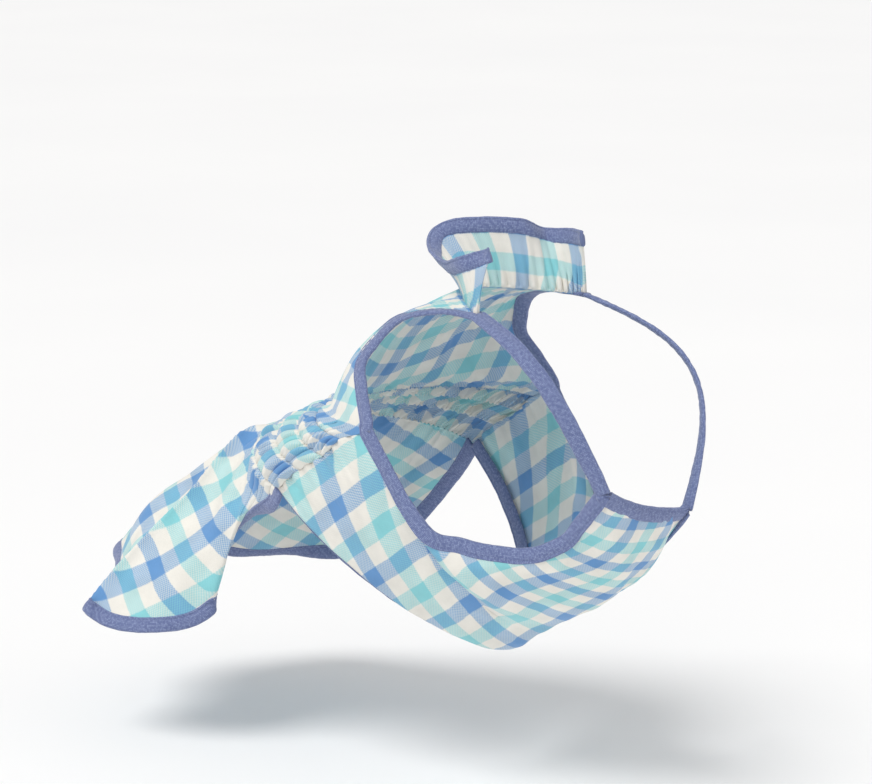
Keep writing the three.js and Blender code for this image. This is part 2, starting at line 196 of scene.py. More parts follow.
def back_cloth(down, across):
    """The back cloth's points: down counts the rows above, across runs from -1 right to 1 left."""
    down, across = np.broadcast_arrays(np.asarray(down, float), np.asarray(across, float))
    row = between(BACK_ROWS, down)
    angle = across * math.pi / 2
    slope = lambda width: np.hypot(width, NAPE_SOFT) - NAPE_SOFT
    straight = slope(np.sin(angle)) / slope(1)
    share = straight + (1 - np.cos(angle) - straight) * row[..., 5]
    reach = row[..., 0] + (row[..., 3] - row[..., 0]) * share
    height = row[..., 1] + (row[..., 4] - row[..., 1]) * share
    return np.stack([np.sin(angle) * row[..., 2] * CHEST_HALF, reach * BACK_REACH, height * BACK_DROP], -1)


def ripple(x, seed, octaves=4):
    """A smooth wandering value near -1 to 1 along x, the same at each run."""
    dice = np.random.default_rng(seed)
    total = 0
    for k in range(octaves):
        total = total + np.sin(x * (1.7 ** k) * dice.uniform(0.8, 1.2) + dice.uniform(0, 6.3)) / 1.5 ** k
    return total / 2


def seam_laid(surface, downs, acrosses, fullness):
    """Where each point of a grid lay in the flat cloth: lengths down and across, in metres."""
    downs, acrosses = np.meshgrid(downs, acrosses, indexing="ij")
    points = surface(downs, acrosses)
    run = np.linalg.norm(np.diff(points, axis=0), axis=-1)
    down = np.concatenate([np.zeros((1, points.shape[1])), np.cumsum(run, axis=0)])
    run = np.linalg.norm(np.diff(points, axis=1), axis=-1)
    side = np.concatenate([np.zeros((points.shape[0], 1)), np.cumsum(run, axis=1)], axis=1)
    middle = np.argmin(np.abs(acrosses[0]))
    side = (side - side[:, middle:middle + 1]) * fullness(downs)
    return np.stack([side, down], -1)


def sewn_piece(name, points, faces, laid, material):
    """A smooth piece whose UV map holds each corner's place in the flat cloth."""
    mesh = bpy.data.meshes.new(name)
    mesh.from_pydata(points.reshape(-1, 3).tolist(), [], faces)
    mesh.uv_layers.new(name="flat_cloth").data.foreach_set("uv", laid.astype(np.float32).ravel())
    mesh.shade_smooth()
    mesh.materials.append(material)
    piece = bpy.data.objects.new(name, mesh)
    bpy.context.scene.collection.objects.link(piece)
    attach(piece, "root")
    return piece


def cloth_wall(name, surface, downs, acrosses, laid):
    """A closed thin wall of the plaid cloth around a surface."""
    down, across = np.meshgrid(downs, acrosses, indexing="ij")
    middle = surface(down, across)
    out = facing(surface, down, across) * CLOTH / 2
    points = np.concatenate([(middle + out).reshape(-1, 3), (middle - out).reshape(-1, 3)])
    rows, row = down.shape
    layer = rows * row
    a = (np.arange(rows - 1)[:, None] * row + np.arange(row - 1)).ravel()
    top = np.stack([a, a + 1, a + row + 1, a + row], -1)
    under = np.stack([a, a + row, a + row + 1, a + 1], -1) + layer
    s = np.arange(rows - 1) * row
    e = s + row - 1
    left = np.stack([s, s + row, s + row + layer, s + layer], -1)
    right = np.stack([e, e + layer, e + row + layer, e + row], -1)
    s = np.arange(row - 1)
    e = s + (rows - 1) * row
    first = np.stack([s, s + layer, s + layer + 1, s + 1], -1)
    last = np.stack([e, e + 1, e + layer + 1, e + layer], -1)
    faces = np.concatenate([top, under, left, right, first, last])
    places = np.concatenate([laid.reshape(-1, 2)] * 2)[faces.ravel()]
    return sewn_piece(name, points, faces.tolist(), places, plaid_cotton)


CHECK, THREAD = 0.0315, 0.00105  # how far apart the checks and the threads repeat
YARN_WANDER, THREAD_SHARE = 0.0006, 0.42
BLUE, CREAM, AQUA = colour(102, 150, 202), colour(233, 230, 222), colour(138, 206, 212)
YARN_STOPS = ((0.115, BLUE), (0.13, CREAM), (0.37, CREAM), (0.385, AQUA),
              (0.615, AQUA), (0.63, CREAM), (0.87, CREAM), (0.885, BLUE))

plaid_cotton, tree, shader = finish("plaid_cotton", 0.88, 0.25, 0.2)
flat = wire(tree, "UVMap", uv_map="flat_cloth")
sides = wire(tree, "SeparateXYZ", {"Vector": flat}).node.outputs
bands = []
crossing = []
for axis in (0, 1):
    drift = wire(tree, "TexNoise", {"Vector": flat, "Scale": 420.0, "Detail": 2.0})
    wander = wire(tree, "Math", {0: drift, 1: YARN_WANDER, 2: sides[axis]}, operation="MULTIPLY_ADD")
    turn = wire(tree, "Math", {0: wander, 1: CHECK}, operation="DIVIDE")
    turn = wire(tree, "Math", {0: turn}, operation="FRACT")
    band = wire(tree, "ValToRGB", {"Fac": turn})
    stops = band.node.color_ramp.elements
    stops[0].position, stops[0].color = 0, BLUE
    stops[1].position, stops[1].color = 1, BLUE
    for spot, yarn in YARN_STOPS:
        stops.new(spot).color = yarn
    bands.append(band)
    wave = wire(tree, "Math", {0: sides[axis], 1: 2 * math.pi / THREAD}, operation="MULTIPLY")
    crossing.append(wire(tree, "Math", {0: wave}, operation="SINE"))
blend = wire(tree, "Mix", {0: 1.0, 6: bands[0], 7: bands[1]}, data_type="RGBA", blend_type="MULTIPLY")
blend = wire(tree, "Gamma", {"Color": blend.node.outputs[2], "Gamma": 0.5})
weave = wire(tree, "Math", {0: crossing[0], 1: crossing[1]}, operation="MULTIPLY")
over = wire(tree, "MapRange", {0: weave, 1: -0.4, 2: 0.4, 3: 0.0, 4: 1.0})
threads = wire(tree, "Mix", {0: over, 6: bands[0], 7: bands[1]}, data_type="RGBA")
cloth_tone = wire(tree, "Mix", {0: THREAD_SHARE, 6: blend, 7: threads.node.outputs[2]},
                  data_type="RGBA")
object_place = wire(tree, "TexCoord").node.outputs["Object"]
fade = wire(tree, "TexNoise", {"Vector": object_place, "Scale": 90.0, "Detail": 4.0})
fade = wire(tree, "MapRange", {0: fade, 1: 0.3, 2: 0.7, 3: 0.93, 4: 1.05})
worn = wire(tree, "HueSaturation", {"Color": cloth_tone.node.outputs[2], "Value": fade})
tree.links.new(worn, shader.inputs["Base Color"])
crumple = wire(tree, "TexNoise", {"Vector": object_place, "Scale": 110.0, "Detail": 5.0, "Roughness": 0.6})
relief = wire(tree, "Bump", {"Height": crumple, "Distance": 0.0011, "Strength": 0.3})
relief = wire(tree, "Bump", {"Height": weave, "Distance": 0.00006, "Strength": 0.5, "Normal": relief})
tree.links.new(relief, shader.inputs["Normal"])


NECK_GATHERS, NECK_GATHER_HEIGHT = 17, 0.0017
WAIST_GATHERS, WAIST_GATHER_HEIGHT = 13, 0.002
YOKE_FOLD_HEIGHT = 0.0009


def yoke_fold(down, across):
    """Gathers below the neck elastic, soft folds in the middle, gathers above the waist elastic."""
    run = np.clip(down / FIRST_ELASTIC, 0, 1)
    edge = eased(np.clip((0.975 - np.abs(across)) / 0.13, 0, 1))
    neck = np.exp(-run / 0.22) * np.clip(run / 0.03, 0, 1)
    waist = np.exp(-(1 - run) / 0.16) * np.clip((1 - run) / 0.025, 0, 1)
    wander = 0.25 * ripple(across * 9, 3)
    gathers = NECK_GATHER_HEIGHT * neck * np.abs(np.sin((across * NECK_GATHERS + wander) * math.pi)) ** 0.8
    puffs = WAIST_GATHER_HEIGHT * waist * np.abs(np.sin((across * WAIST_GATHERS + wander) * math.pi)) ** 0.7
    folds = YOKE_FOLD_HEIGHT * np.sqrt(np.sin(run * math.pi)) * ripple(across * 16 + run, 5)
    return (gathers + puffs + folds) * edge


def back_fullness(down):
    """How much wider the flat cloth is than the back that it is drawn in to."""
    return 1.12 + 0.45 * np.exp(-down / 0.9) + 0.2 * np.exp(-((down - 8.5) / 2) ** 2)


yoke_downs = np.linspace(0, FIRST_ELASTIC, 85)
yoke_acrosses = np.linspace(-1, 1, 321)
yoke_laid = seam_laid(back_cloth, yoke_downs, yoke_acrosses, back_fullness)
yoke = cloth_wall("yoke_cloth", lifted(back_cloth, yoke_fold), yoke_downs, yoke_acrosses, yoke_laid)
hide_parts("back_yoke")

# Shirred waist
# The same back cloth over four rows of thin elastic thread sewn across it. Between the rows the
# cloth stands up in small puffs, and along each row it is pressed down in fine puckers.

PUFFS = 26
PUFF_HEIGHT, PUCKER_HEIGHT, WRINKLE_HEIGHT = 0.0034, 0.0005, 0.0003


def waist_puff(down, across):
    """Puffs between the elastic rows, each row set off from the last, and puckers along the rows."""
    row = down - FIRST_ELASTIC
    number = np.clip(np.floor(row), 0, 2)
    part = np.clip(row, 0, 3) - number
    swell = np.clip(np.sin(np.clip(part, 0, 1) * math.pi), 0, 1) ** 0.55
    wander = np.choose(number.astype(int), [0.4 * ripple(across * 11, seed) for seed in (11, 12, 13)])
    slant = 0.3 * (part - 0.5) * (1 + ripple(across * 6 + number * 9, 15))
    phase = across * PUFFS / 2 + wander + 0.37 * number + slant
    round_top = np.abs(np.cos(phase * math.pi)) ** 0.6
    size = 1 + 0.35 * ripple(phase * 2.1 + number * 5, 17)
    fine = np.sin(across * PUFFS * 2.6 * math.pi + 2 * ripple(across * 30, 19))
    pucker = PUCKER_HEIGHT * (1 - swell) * fine
    wrinkle = WRINKLE_HEIGHT * ripple(across * 90 + part * 5, 21) * swell
    edge = np.sqrt(np.clip(1 - np.abs(across) ** 40, 0, 1))
    return PUFF_HEIGHT * swell * round_top * size * edge + (pucker + wrinkle) * (1 - across ** 12)


waist_downs = np.linspace(FIRST_ELASTIC, LAST_ELASTIC, 73)
waist_acrosses = np.linspace(-1, 1, 681)
waist_laid = seam_laid(back_cloth, waist_downs, waist_acrosses, back_fullness)
waist_laid[..., 1] += yoke_laid[-1, :, 1].mean()
waist = cloth_wall("waist_cloth", lifted(back_cloth, waist_puff), waist_downs, waist_acrosses, waist_laid)
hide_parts("waist_shirring")

# Skirt
# A flared plaid panel that falls from the last elastic over the rump. It folds down on each side of
# the back. Its right corner swings out to the side, and its hem is highest near the middle.

SKIRT_ROWS = np.array([  # right edge, flap and corner, middle, left corner, flap and edge: x, y, z
    [[-0.97, 0.23, -0.47], [-0.87, 0.33, -0.46], [-0.45, 0.44, -0.38], [-0.16, 0.47, -0.37],
     [0.14, 0.48, -0.39], [0.82, 0.36, -0.46], [1.04, 0.23, -0.475]],
    [[-0.84, 0.35, -0.54], [-0.95, 0.34, -0.52], [-0.69, 0.48, -0.46], [-0.4, 0.53, -0.425],
     [-0.06, 0.57, -0.445], [0.78, 0.44, -0.57], [1.06, 0.28, -0.54]],
    [[-0.89, 0.4, -0.62], [-1, 0.35, -0.59], [-0.92, 0.52, -0.55], [-0.62, 0.58, -0.5],
     [-0.25, 0.65, -0.52], [0.72, 0.52, -0.65], [1.05, 0.33, -0.605]],
    [[-0.91, 0.42, -0.7], [-1.05, 0.365, -0.66], [-1.23, 0.57, -0.68], [-0.89, 0.64, -0.6],
     [-0.45, 0.735, -0.61], [0.65, 0.6, -0.73], [1.01, 0.375, -0.67]],
    [[-0.94, 0.42, -0.77], [-1.17, 0.4, -0.8], [-1.53, 0.62, -0.795], [-1.07, 0.67, -0.75],
     [-0.65, 0.805, -0.715], [0.55, 0.69, -0.8], [0.97, 0.42, -0.74]],
])
HEM = len(SKIRT_ROWS)
SKIRT_STOPS = np.array([-1, -0.65, -0.25, 0, 0.25, 0.65, 1])


def skirt_section(index, across):
    """One row of the skirt, a smooth line through its points. Row 0 is the back's last elastic."""
    if index == 0:
        return back_cloth(np.full(across.shape, float(LAST_ELASTIC)), across)
    knots = SKIRT_ROWS[index - 1] * (CHEST_HALF, BACK_REACH, BACK_DROP)
    low, high = np.clip(np.arange(7) - 1, 0, 6), np.clip(np.arange(7) + 1, 0, 6)
    slopes = (knots[high] - knots[low]) / (SKIRT_STOPS[high] - SKIRT_STOPS[low])[:, None]
    at = np.clip(across, -1, 1)
    i = np.clip(np.searchsorted(SKIRT_STOPS, at, side="left") - 1, 0, 5)
    span = (SKIRT_STOPS[i + 1] - SKIRT_STOPS[i])[..., None]
    f = (at - SKIRT_STOPS[i])[..., None] / span
    return (knots[i] * (1 - 3 * f ** 2 + 2 * f ** 3) + knots[i + 1] * (3 * f ** 2 - 2 * f ** 3)
            + slopes[i] * (f - 2 * f ** 2 + f ** 3) * span + slopes[i + 1] * (f ** 3 - f ** 2) * span)


def skirt_cloth(down, across):
    """The skirt's points without its folds: down counts its rows, across runs as on the back."""
    down, across = np.broadcast_arrays(np.asarray(down, float), np.asarray(across, float))
    rows = np.stack([skirt_section(k, across) for k in range(HEM + 1)])
    i = np.clip(np.floor(down).astype(int), 0, HEM - 1)
    more = with_ends(rows)
    near = [np.take_along_axis(more, (i + k)[None, ..., None], axis=0)[0] for k in range(4)]
    return curve(*near, (down - i)[..., None])


CREST = -0.25
SKIRT_GRAIN = np.array([[0.8, 0.22], [-0.4, 1.03]])  # how the two yarns run to the crest
SKIRT_SHIFT = (0.0066, 0.0199)
SKIRT_FLUTES = ((-0.5, 0.07, 0.002), (0.02, 0.07, 0.003), (0.4, 0.08, 0.0035), (0.68, 0.09, 0.003))
RIDGE_HEIGHT, RIDGE_SPREAD = 0.0055, 0.04
SKIRT_GATHER_HEIGHT, SKIRT_WAVE_HEIGHT = 0.0026, 0.0008
HEM_DIP, DIP_PLACE, DIP_SPREAD = 0.025, -0.42, 0.14
HEM_RISE, RISE_PLACE, RISE_SPREAD = 0.07, -0.68, 0.08


def skirt_fold(down, across):
    """The crest and flutes that open towards the hem, and the gathers under the elastic."""
    bend = 0.03 * np.sin(down * 1.9)
    lift = RIDGE_HEIGHT * np.exp(-np.abs(across - CREST - bend) / RIDGE_SPREAD)
    for at, spread, height in SKIRT_FLUTES:
        lift = lift + height * np.exp(-((across - at - bend) / spread) ** 2)
    opening = np.clip(down / 1.2, 0, 1)
    top = np.exp(-down / 0.7) * np.clip(down / 0.12, 0, 1)
    phase = across * PUFFS / 2 + 0.3 * ripple(across * 11, 23)
    gathers = SKIRT_GATHER_HEIGHT * top * np.abs(np.cos(phase * math.pi)) ** 0.7
    soft = SKIRT_WAVE_HEIGHT * ripple(across * 12 + down * 0.9, 29) * np.clip(down, 0, 1)
    return lift * opening + (gathers + soft) * (1 - np.abs(across) ** 12)


def waved_skirt(down, across):
    """The skirt cloth with its hem let down beside the crest and drawn up to the right edge."""
    dip = HEM_DIP * np.exp(-((across - DIP_PLACE) / DIP_SPREAD) ** 2)
    rise = HEM_RISE * (1 - np.tanh((across - RISE_PLACE) / RISE_SPREAD)) / 2
    return skirt_cloth(down * (1 + dip - rise), across)


skirt_surface = lifted(waved_skirt, skirt_fold)
HEM_LINE = HEM - 0.1
skirt_downs = np.linspace(0, HEM_LINE, 121)
skirt_acrosses = np.linspace(-1, 1, 401)


def unrolled_skirt(downs, acrosses):
    """Lengths along the crest and square to it, as the skirt lies when it is opened flat."""
    down, across = np.meshgrid(downs, acrosses, indexing="ij")
    points = skirt_cloth(down, across)
    top, foot = skirt_cloth(np.array([0.0, HEM]), np.full(2, CREST))
    crest = unit(foot - top)
    along = (points - top) @ crest
    step = np.diff(points, axis=1)
    round_step = np.sqrt(np.maximum((step ** 2).sum(-1) - (step @ crest) ** 2, 0))
    side = np.concatenate([np.zeros((len(downs), 1)), np.cumsum(round_step, axis=1)], axis=1)
    middle = np.argmin(np.abs(acrosses - CREST))
    side = side - side[:, middle:middle + 1]
    return np.stack([side, along], -1) @ SKIRT_GRAIN + SKIRT_SHIFT


skirt_laid = unrolled_skirt(skirt_downs, skirt_acrosses)
skirt = cloth_wall("skirt_cloth", skirt_surface, skirt_downs, skirt_acrosses, skirt_laid)
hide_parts("skirt")

# Chest and belly panel
# One plaid panel from the bib between the straps, back between the front legs, and out to a wing on
# each side that is seamed to the waist. It is cut in one piece and hangs in a shallow bag.

CHEST_REACH, BELLY_DROP = 0.108, 0.136
BIB_TILT = 0.0075
BELLY_ROWS = np.array([  # middle reach and height
    [-1, -0.49], [-0.97, -0.603], [-0.89, -0.713], [-0.78, -0.79], [-0.66, -0.845], [-0.575, -0.882],
    [-0.5, -0.923], [-0.45, -0.95], [-0.415, -0.97], [-0.37, -0.99], [-0.333, -1],
])
BELLY_ARMHOLE = np.array([  # half width, edge reach and edge height, as far as the side seam
    [0.44, -1, -0.455], [0.42, -0.89, -0.555], [0.43, -0.8, -0.625], [0.52, -0.65, -0.66],
    [0.74, -0.455, -0.625], [0.91, -0.338, -0.56],
])
BELLY_END = len(BELLY_ROWS) - 1
SAG = 0.78

armhole_edge = np.concatenate([BELLY_ARMHOLE * (CHEST_HALF, CHEST_REACH, BELLY_DROP),
                               [back_cloth(ARMHOLE_CORNER, 1)]])


def belly_edge(down):
    """The left edge: the front half of the armhole, and below its corner the side seam."""
    return np.where((down >= ARMHOLE_CORNER)[..., None], back_cloth(down, 1.0),
                    between(armhole_edge, np.minimum(down, ARMHOLE_CORNER)))


def belly_cloth(down, across):
    """The belly panel's points: down runs from the bib to the rear edge, across as on the back."""
    down, across = np.broadcast_arrays(np.asarray(down, float), np.asarray(across, float))
    angle = across * math.pi / 2
    rise = (1 - np.cos(angle)) ** SAG
    edge = belly_edge(down)
    middle = between(BELLY_ROWS * (CHEST_REACH, BELLY_DROP), down)
    tilt = -BIB_TILT * np.sin(angle) * (1 - eased(np.clip((down - 1) / (ARMHOLE_CORNER - 1), 0, 1)))
    return np.stack([np.sin(angle) * edge[..., 0],
                     middle[..., 0] + (edge[..., 1] - middle[..., 0]) * rise,
                     middle[..., 1] + (edge[..., 2] - middle[..., 1]) * rise + tilt], -1)


def belly_outer(down, across):
    """The belly cloth with its faces outwards: across runs from the left side to the right."""
    return belly_cloth(down, -across)


PULL_HEIGHT, BELLY_WAVE_HEIGHT = 0.0007, 0.0007


def belly_crease(down, across):
    """Short pulls along the side seams, and soft waves across the middle."""
    seam = np.exp(-(1 - np.abs(across)) / 0.12) * np.clip((down - ARMHOLE_CORNER) / 0.4, 0, 1)
    pulls = PULL_HEIGHT * seam * np.sin(down * 2 * math.pi * 2.2 + ripple(down * 5, 31))
    soft = BELLY_WAVE_HEIGHT * ripple(across * 7 + down * 0.8, 37) * (1 - np.abs(across) ** 8)
    return pulls + soft


BIB_GRAIN = np.array([[1.475, -0.27], [-0.71, 1.54]])  # how the two yarns run on the bib
BIB_SHIFT = (-0.0057, -0.0069)
BIB_BLEND = 4.5
WING_LEAN = 0.4
WING_SHIFT = (-0.0356, 0.0293)
belly_surface = lifted(belly_outer, belly_crease)
belly_downs = np.linspace(0, BELLY_END, 141)
belly_acrosses = np.linspace(-1, 1, 281)
belly_laid = seam_laid(belly_outer, belly_downs, belly_acrosses, lambda down: np.ones(down.shape))
rear_line = belly_laid[-1, len(belly_acrosses) // 2, 1] - belly_laid[-1:, :, 1]
share = belly_laid[..., 1] / belly_laid[-1:, :, 1]
belly_laid[..., 1] += rear_line * eased(share)
front = eased(np.clip((BIB_BLEND - belly_downs) / (BIB_BLEND - 1), 0, 1))[:, None, None]
wing_laid = belly_laid + np.abs(belly_laid[..., :1]) * (0, WING_LEAN) + WING_SHIFT
belly_laid = (belly_laid @ BIB_GRAIN + BIB_SHIFT) * front + wing_laid * (1 - front)
belly = cloth_wall("belly_cloth", belly_surface, belly_downs, belly_acrosses, belly_laid)
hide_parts("belly_panel")

# Shoulder straps and armhole bindings
# Blue chambray cut on the bias and folded twice. It encloses each armhole's edge, and between the
# yoke and the bib it goes on alone as a narrow strap, with one row of stitches by its inner edge.

BINDING_WIDTH, BINDING_THICK, STRAP_WIDTH = 0.0066, 0.0021, 0.0068
HANDS = {"right": -1, "left": 1}
STRAP_BOW = {"right": (0.009, 0.008, 0.013), "left": (0.015, 0.017, 0.012)}
EDGE_FACE = 0.97  # a binding faces as the cloth does just inside its edge
CORNER_TURN = 1.2
BINDING_STEP = 0.0009
SWELL, FINE_SWELL, SWAY, DRAG = 0.1, 0.05, 0.00015, 0.06
CHAMBRAY_THREAD = 0.0009
STITCH_PITCH, STITCH_THICK = 0.0027, 0.00038
STITCH_LINE, STITCH_LIFT = 0.325, 0.26  # shares of a binding's width and thickness
FOLD_PROFILE = np.array([  # across from the stitched edge to the folded edge, and height
    [-0.5, 0.0], [-0.485, 0.22], [-0.44, 0.34], [-0.37, 0.33], [-0.325, 0.24], [-0.28, 0.33], [-0.17, 0.46],
    [0.02, 0.52], [0.22, 0.5], [0.36, 0.44], [0.45, 0.3], [0.5, 0.0],
])

chambray, tree, shader = finish("blue_chambray", 0.85, 0.3, 0.2)
flat = wire(tree, "UVMap", uv_map="flat_cloth")
bias = wire(tree, "Mapping", {"Vector": flat, "Rotation": (0, 0, math.radians(45))})
sides = wire(tree, "SeparateXYZ", {"Vector": bias}).node.outputs
waves = []
for axis in (0, 1):
    wave = wire(tree, "Math", {0: sides[axis], 1: 2 * math.pi / CHAMBRAY_THREAD}, operation="MULTIPLY")
    waves.append(wire(tree, "Math", {0: wave}, operation="SINE"))
weave = wire(tree, "Math", {0: waves[0], 1: waves[1]}, operation="MULTIPLY")
over = wire(tree, "MapRange", {0: weave, 1: -0.5, 2: 0.5, 3: 0.0, 4: 1.0})
slub = wire(tree, "TexNoise", {"Vector": bias, "Scale": 900.0, "Detail": 3.0})
slub = wire(tree, "MapRange", {0: slub, 1: 0.42, 2: 0.62, 3: 0.0, 4: 1.0})
fleck = wire(tree, "Math", {0: over, 1: slub}, operation="MULTIPLY")
mottle = wire(tree, "TexNoise", {"Vector": flat, "Scale": 160.0, "Detail": 3.0})
base = wire(tree, "Mix", {0: mottle, 6: colour(94, 106, 148), 7: colour(110, 122, 164)}, data_type="RGBA")
tone = wire(tree, "Mix", {0: fleck, 6: base.node.outputs[2], 7: colour(148, 160, 196)}, data_type="RGBA")
tree.links.new(tone.node.outputs[2], shader.inputs["Base Color"])
crumple = wire(tree, "TexNoise", {"Vector": flat, "Scale": 300.0, "Detail": 4.0})
relief = wire(tree, "Bump", {"Height": crumple, "Distance": 0.0006, "Strength": 0.35})
relief = wire(tree, "Bump", {"Height": weave, "Distance": 0.00006, "Strength": 0.6, "Normal": relief})
tree.links.new(relief, shader.inputs["Normal"])

stitch_thread, tree, shader = finish("stitch_thread", 0.6, 0.2, 0.35)
flat = wire(tree, "UVMap", uv_map="flat_cloth")
twist = wire(tree, "TexWave", {"Vector": flat, "Scale": 900.0, "Distortion": 1.0}, bands_direction="DIAGONAL")
tone = wire(tree, "Mix", {0: twist, 6: colour(96, 108, 154), 7: colour(132, 144, 188)}, data_type="RGBA")
tree.links.new(tone.node.outputs[2], shader.inputs["Base Color"])
relief = wire(tree, "Bump", {"Height": twist, "Distance": 0.0001, "Strength": 0.5})
tree.links.new(relief, shader.inputs["Normal"])


def outward(down, across):
    """The direction out of the belly cloth, away from the body."""
    return -facing(belly_cloth, down, across)


def strap_arch(side):
    out, forward, up = STRAP_BOW[side]
    return np.array([HANDS[side] * out, -forward, up])


def strap_path(side, t):
    """From the yoke's top corner over the shoulder to the bib's corner, as t goes from 0 to 1."""
    hand = float(HANDS[side])
    arch = np.sin(t * math.pi)[:, None] * strap_arch(side)
    return back_cloth(0.0, hand) * (1 - t[:, None]) + belly_cloth(0.0, hand) * t[:, None] + arch


def strap_face(side, t):
    hand = HANDS[side] * EDGE_FACE
    arch = np.sin(t * math.pi)[:, None] * unit(strap_arch(side))
    return unit(facing(back_cloth, np.array(0.0), np.array(hand)) * (1 - t[:, None])
                + outward(np.array(0.0), np.array(hand)) * t[:, None] + arch)


def armhole_path(side, t):
    """From the yoke's top corner down the rear of the armhole and up its front to the bib."""
    hand = np.full(t.shape, float(HANDS[side]))
    at = t * 2 * ARMHOLE_CORNER
    rear = back_cloth(np.minimum(at, ARMHOLE_CORNER), hand)
    front = belly_cloth(np.minimum(2 * ARMHOLE_CORNER - at, ARMHOLE_CORNER), hand)
    return np.where((at <= ARMHOLE_CORNER)[:, None], rear, front)


def armhole_face(side, t):
    hand = np.full(t.shape, HANDS[side] * EDGE_FACE)
    at = t * 2 * ARMHOLE_CORNER
    step = eased(np.clip((at - ARMHOLE_CORNER) / CORNER_TURN + 0.5, 0, 1))[:, None]
    rear = facing(back_cloth, np.minimum(at, ARMHOLE_CORNER), hand)
    front = outward(2 * ARMHOLE_CORNER - np.maximum(at, ARMHOLE_CORNER), hand)
    return unit(rear * (1 - step) + front * step)


def even(path, count):
    """Parameters that space a path's points evenly, and how far along the path each lies."""
    fine = np.linspace(0, 1, 2000)
    gone = np.concatenate([[0], np.cumsum(np.linalg.norm(np.diff(path(fine), axis=0), axis=1))])
    far = np.linspace(0, gone[-1], count)
    return np.interp(far, gone, fine), far


def path_frame(path, face, t):
    """A path's points, and the directions along it, across it and out of it."""
    small = 1e-3
    run = unit(path(np.minimum(t + small, 1)) - path(np.maximum(t - small, 0)))
    across = unit(np.cross(run, face(t)))
    return path(t), run, across, np.cross(across, run)


def folded_binding(name, path, face, width, fold, seed):
    """A doubled bias strip along a path. fold is 1 or -1, the side of its folded free edge."""
    count = int(even(path, 2)[1][-1] / BINDING_STEP)
    t, far = even(path, count)
    spot, run, across, up = path_frame(path, face, t)
    profile = np.concatenate([FOLD_PROFILE, FOLD_PROFILE[-2:0:-1] * (1, -1)])
    n = len(profile)
    swell = 1 + SWELL * ripple(far * 420, seed) + FINE_SWELL * ripple(far * 1300, seed + 1)
    sway = SWAY * ripple(far * 260, seed + 2)
    slip = 2 * ripple(far * 200, seed + 3)[:, None]
    drag = DRAG * np.sin(far[:, None] * 1500 + profile[:, 0] * 5 + slip)
    x = fold * profile[:, 0] * width + sway[:, None]
    y = profile[:, 1] * BINDING_THICK * (swell[:, None] + drag * (profile[:, 0] > -0.3))
    points = spot[:, None] + across[:, None] * x[..., None] + up[:, None] * y[..., None]
    ring = np.arange(n)
    after = (ring + 1) % n
    i = np.arange(count - 1)[:, None] * n
    sides = np.stack([i + ring, i + after, i + n + after, i + n + ring], -1).reshape(-1, 4)
    caps = [ring[::-1].tolist(), (ring + (count - 1) * n).tolist()]
    if fold < 0:
        sides = sides[:, ::-1]
        caps = [cap[::-1] for cap in caps]
    round_trip = np.concatenate([profile, profile[:1]]) * (width, BINDING_THICK)
    girth = np.concatenate([[0], np.cumsum(np.linalg.norm(np.diff(round_trip, axis=0), axis=1))])
    v = far[sides // n]
    closing = (sides % n == 0) & (np.max(sides % n, axis=1) == n - 1)[:, None]
    u = np.where(closing, girth[n], girth[sides % n])
    ends = np.concatenate([np.stack([np.zeros(n), np.full(n, e)], -1) for e in (0, far[-1])])
    laid = np.concatenate([np.stack([u, v], -1).reshape(-1, 2), ends])
    return sewn_piece(name, points, sides.tolist() + caps, laid, chambray)


STITCH_RINGS = ((-0.5, 0.15), (-0.42, 0.8), (-0.2, 1), (0.2, 1), (0.42, 0.8), (0.5, 0.15))
STITCH_SIDES, STITCH_SHARE, STITCH_SINK = 6, 0.78, 0.00012


def stitch_row(name, path, face, side_step, lift=STITCH_LIFT):
    """A row of short sewn stitches beside a path, each a thin capsule sunk in its own groove."""
    count = int(even(path, 2)[1][-1] / STITCH_PITCH)
    t = even(path, count + 1)[0]
    spot, run, across, up = path_frame(path, face, (t[1:] + t[:-1]) / 2)
    centre = spot + across * side_step + up * lift * BINDING_THICK
    long, radius = STITCH_PITCH * STITCH_SHARE, STITCH_THICK / 2
    n = STITCH_SIDES
    spans = len(STITCH_RINGS) - 1
    shape = np.array([[a * long, r * radius * math.cos(w),
                       r * radius * math.sin(w) - STITCH_SINK * (abs(a) > 0.4)]
                      for a, r in STITCH_RINGS for w in np.arange(n) * 2 * math.pi / n])
    points = centre[:, None] + shape @ np.stack([run, across, up], 1)
    ring = np.arange(n)
    after = (ring + 1) % n
    i = np.arange(spans)[:, None] * n
    sides = np.stack([i + ring, i + after, i + n + after, i + n + ring], -1).reshape(-1, 4)
    stitch = sides.tolist() + [ring[::-1].tolist(), (ring + spans * n).tolist()]
    faces = [[k * len(shape) + v for v in part] for k in range(count) for part in stitch]
    corner = np.array([v for part in faces for v in part]) % len(shape)
    laid = np.stack([corner // n * long / spans, corner % n * radius], -1)
    return sewn_piece(name, points, faces, laid, stitch_thread)


yoke_trim = []
for side, hand in HANDS.items():
    routes = {
        "armhole_binding": (lambda t: armhole_path(side, t), lambda t: armhole_face(side, t),
                            BINDING_WIDTH, hand),
        "shoulder_strap": (lambda t: strap_path(side, t), lambda t: strap_face(side, t), STRAP_WIDTH, -hand),
    }
    for number, (part, (path, face, width, fold)) in enumerate(routes.items()):
        seed = 100 * (number + 1) + hand
        piece = folded_binding(f"{part}_cloth_{side}", path, face, width, fold, seed)
        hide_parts(f"{part}_{side}")
        stitches = stitch_row(f"{part}_stitches_{side}", path, face, -fold * STITCH_LINE * width)
        yoke_trim += [piece, stitches]

# Bib and belly bindings
# The same folded chambray over the top edge of the bib. Under the belly it is sewn to the inside of
# the rear edge, so that only its narrow fold shows past the plaid.

BELLY_SHARE = 0.988
TUCK, SET_BACK = 0.0014, 0.0015


